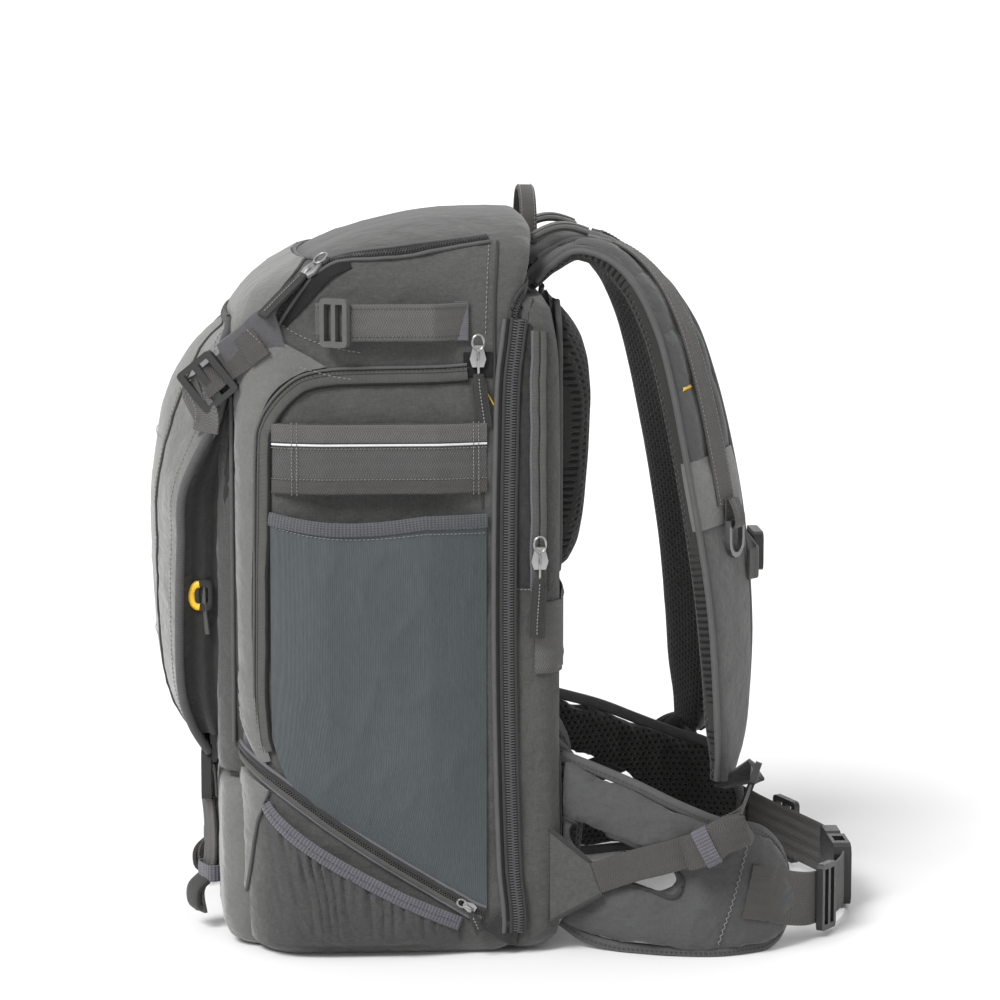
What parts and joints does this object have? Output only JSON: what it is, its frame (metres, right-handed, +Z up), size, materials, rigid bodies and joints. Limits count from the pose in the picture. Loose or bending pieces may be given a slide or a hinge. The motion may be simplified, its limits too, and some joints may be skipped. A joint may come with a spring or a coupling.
{
  "type": "camera backpack",
  "caption": "Grey camera backpack with a rear door, stash flap, stretch side pockets, curved padded straps and a buckled hip belt.",
  "frame": {"origin": "middle of the flat base, on the floor", "axes": "+X towards the wearer's back, +Y to the wearer's left, +Z up"},
  "size_m": [0.5055, 0.3748, 0.526],
  "materials": {
    "charcoal_cloth": "woven matte",
    "grey_cloth": "woven matte",
    "stretch_cloth": "stretch knit",
    "air_mesh": "spacer mesh",
    "webbing": "ribbed webbing",
    "zip_tape": "coil zip",
    "elastic": "ribbed elastic",
    "buckle_plastic": "satin moulded",
    "ring_metal": "satin"
  },
  "bodies": {
    "bag": {"bag_shell": "charcoal_cloth", "top_lid": "charcoal_cloth", "rear_panel": "charcoal_cloth", "front_pocket": "charcoal_cloth", "lower_pocket_right": "charcoal_cloth", "lower_pocket_left": "charcoal_cloth", "shoulder_strap_right": "charcoal_cloth", "shoulder_strap_left": "charcoal_cloth", "hip_wing_right": "charcoal_cloth", "hip_wing_left": "charcoal_cloth", "anchor_tab_right": "charcoal_cloth", "anchor_tab_left": "charcoal_cloth", "base_pocket": "grey_cloth", "front_flap": "grey_cloth", "side_pocket_right": "stretch_cloth", "side_pocket_left": "stretch_cloth", "back_pad": "air_mesh", "lumbar_pad": "air_mesh", "label_band_right": "webbing", "label_band_left": "webbing", "tripod_strap_right": "webbing", "tripod_strap_left": "webbing", "trolley_strap": "webbing", "top_handle": "webbing", "strap_webbing_right": "webbing", "strap_webbing_left": "webbing", "load_lifter_right": "webbing", "load_lifter_left": "webbing", "ring_loop_right": "webbing", "ring_loop_left": "webbing", "sternum_strap": "webbing", "belt_webbing_right": "webbing", "belt_webbing_left": "webbing", "lower_webbing_right": "webbing", "lower_webbing_left": "webbing", "compression_strap_right": "webbing", "compression_strap_left": "webbing", "front_strap_right": "webbing", "front_strap_left": "webbing", "main_zip_right": "zip_tape", "main_zip_left": "zip_tape", "laptop_zip": "zip_tape", "webbing_bundle_right": "elastic", "webbing_bundle_left": "elastic", "tripod_lock_right": "buckle_plastic", "tripod_lock_left": "buckle_plastic", "sternum_clip": "buckle_plastic", "belt_lock_right": "buckle_plastic", "belt_lock_left": "buckle_plastic", "belt_clip_socket": "buckle_plastic", "belt_clip_plug": "buckle_plastic", "strap_lock_right": "buckle_plastic", "strap_lock_left": "buckle_plastic", "compression_lock_right": "buckle_plastic", "compression_lock_left": "buckle_plastic", "front_clip_right": "buckle_plastic", "front_clip_left": "buckle_plastic"},
    "ring_right": {"d_ring_right": "ring_metal"},
    "ring_left": {"d_ring_left": "ring_metal"}
  },
  "joints": [
    {"name": "ring_swing_right", "type": "hinge", "parent": "bag", "child": "ring_right", "pos_m": [0.2389, -0.10148, 0.29491], "axis": [-0.5365, -0.8439, 0], "range_deg": [0, 120]},
    {"name": "ring_swing_left", "type": "hinge", "parent": "bag", "child": "ring_left", "pos_m": [0.2389, 0.10148, 0.29491], "axis": [0.5365, -0.8439, 0], "range_deg": [0, 120]}
  ]
}
